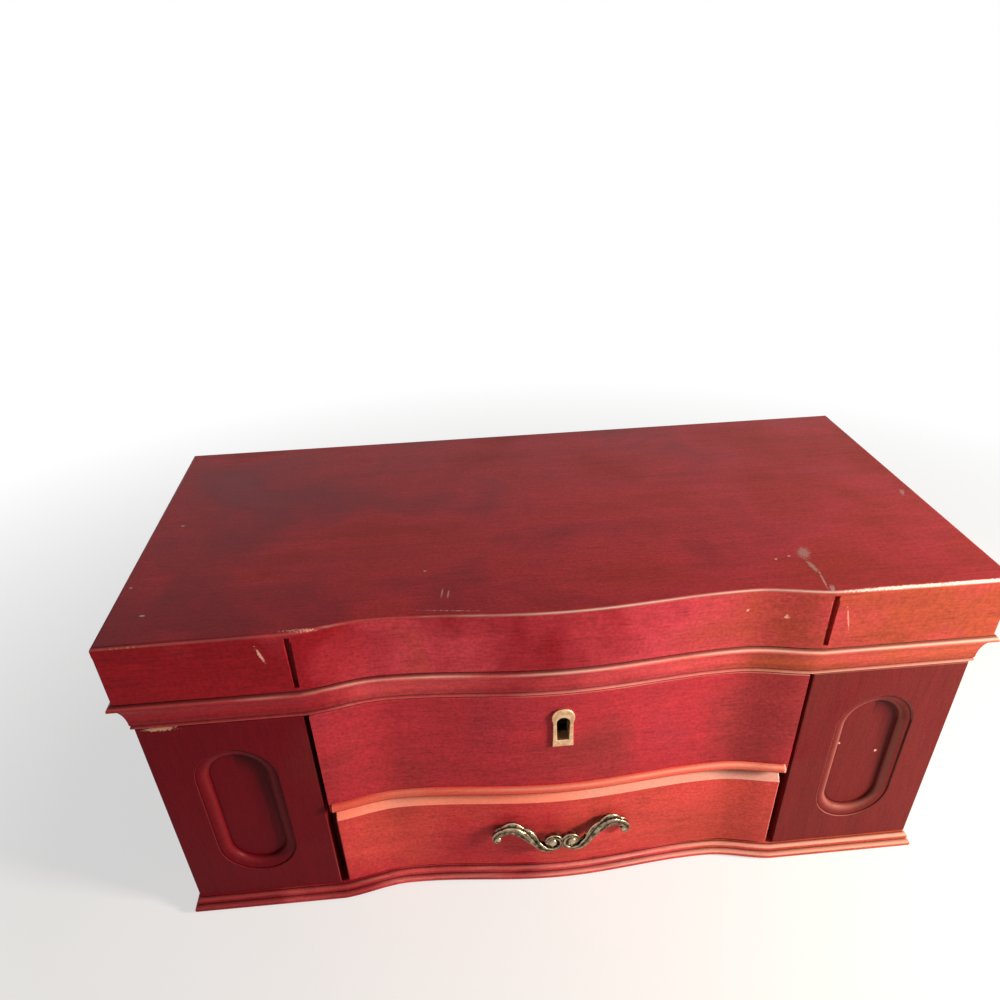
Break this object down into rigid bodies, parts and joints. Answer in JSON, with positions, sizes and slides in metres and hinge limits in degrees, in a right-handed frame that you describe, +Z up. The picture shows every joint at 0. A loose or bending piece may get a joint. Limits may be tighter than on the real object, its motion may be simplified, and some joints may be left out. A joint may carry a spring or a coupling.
{
  "type": "jewellery box",
  "caption": "Serpentine-front jewellery chest with a hinged mirrored lid over a lined well, a drawer with a scrolled pull, and hinged necklace doors at its front corners.",
  "frame": {"origin": "on the table plane, at the middle of the object's width and depth", "axes": "+X to the right seen from the front, +Y to the back, +Z up"},
  "size_m": [0.406, 0.2084, 0.1818],
  "materials": {
    "stained_wood": "satin lacquer over red mahogany stain",
    "lid_wood": "worn satin lacquer over red brown stain",
    "front_wood": "satin lacquer over bright cherry stain",
    "stained_dark": "satin lacquer over dark burgundy stain",
    "raw_wood": "plain sanded beech",
    "velvet": "dark red cotton velvet",
    "felt": "green wool felt",
    "brass": "lacquered brass, slightly dulled",
    "bronze": "antiqued cast brass with bright high spots",
    "steel": "bright zinc plated",
    "mirror": "silvered plate glass"
  },
  "bodies": {
    "case": {"base_board": "stained_wood", "side_board_left": "stained_wood", "side_board_right": "stained_wood", "back_board": "stained_dark", "partition_left": "stained_dark", "partition_right": "stained_dark", "well_floor": "raw_wood", "shelf_left": "raw_wood", "shelf_right": "raw_wood", "front_panel": "front_wood", "front_rail": "stained_wood", "panel_bead": "front_wood", "cornice_front": "stained_wood", "cornice_left": "stained_wood", "cornice_right": "stained_wood", "felt_pads": "felt", "well_lining": "velvet", "ring_rolls": "velvet", "tray_lining_right": "velvet", "necklace_lining_left": "velvet", "necklace_lining_right": "velvet", "lock_case": "brass", "keyhole_plate": "brass", "lid_hinge_case_leaves": "brass", "lid_hinge_pins": "steel", "door_left_hinge_case_leaves": "brass", "door_left_hinge_pins": "steel", "door_right_hinge_case_leaves": "brass", "door_right_hinge_pins": "steel", "catch_magnets": "steel"},
    "lid": {"lid_top": "lid_wood", "lid_front_rail": "stained_wood", "lid_side_rail_left": "stained_wood", "lid_side_rail_right": "stained_wood", "lid_back_rail": "stained_wood", "mirror_board": "velvet", "mirror_glass": "mirror", "mirror_frame": "stained_dark", "strike_plate": "brass", "strike_eyes": "brass", "lid_hinge_lid_leaves": "brass"},
    "drawer": {"drawer_front": "front_wood", "drawer_side_left": "raw_wood", "drawer_side_right": "raw_wood", "drawer_back": "raw_wood", "drawer_bottom": "raw_wood", "drawer_lining": "velvet", "drawer_pull": "bronze", "pull_screws": "steel"},
    "door_left": {"door_left": "stained_dark", "door_left_hinge_door_leaves": "brass", "catch_plate_left": "steel", "necklace_hooks_left": "brass"},
    "door_right": {"door_right": "stained_dark", "door_right_hinge_door_leaves": "brass", "catch_plate_right": "steel", "necklace_hooks_right": "brass"},
    "lock_bolt": {"lock_bolt": "steel"}
  },
  "joints": [
    {"name": "lid_hinge", "type": "hinge", "parent": "case", "child": "lid", "pos_m": [0, 0.10187, 0.15065], "axis": [-1, 0, 0], "range_deg": [0, 100]},
    {"name": "drawer_slide", "type": "slide", "parent": "case", "child": "drawer", "axis": [0, -1, 0], "range_m": [0, 0.13]},
    {"name": "door_left_hinge", "type": "hinge", "parent": "case", "child": "door_left", "pos_m": [-0.1989, -0.08417, 0.0715], "axis": [0, 0, -1], "range_deg": [0, 105]},
    {"name": "door_right_hinge", "type": "hinge", "parent": "case", "child": "door_right", "pos_m": [0.1989, -0.08417, 0.0715], "axis": [0, 0, 1], "range_deg": [0, 105]},
    {"name": "lock_bolt_slide", "type": "slide", "parent": "case", "child": "lock_bolt", "axis": [1, 0, 0], "range_m": [0, 0.004]}
  ]
}
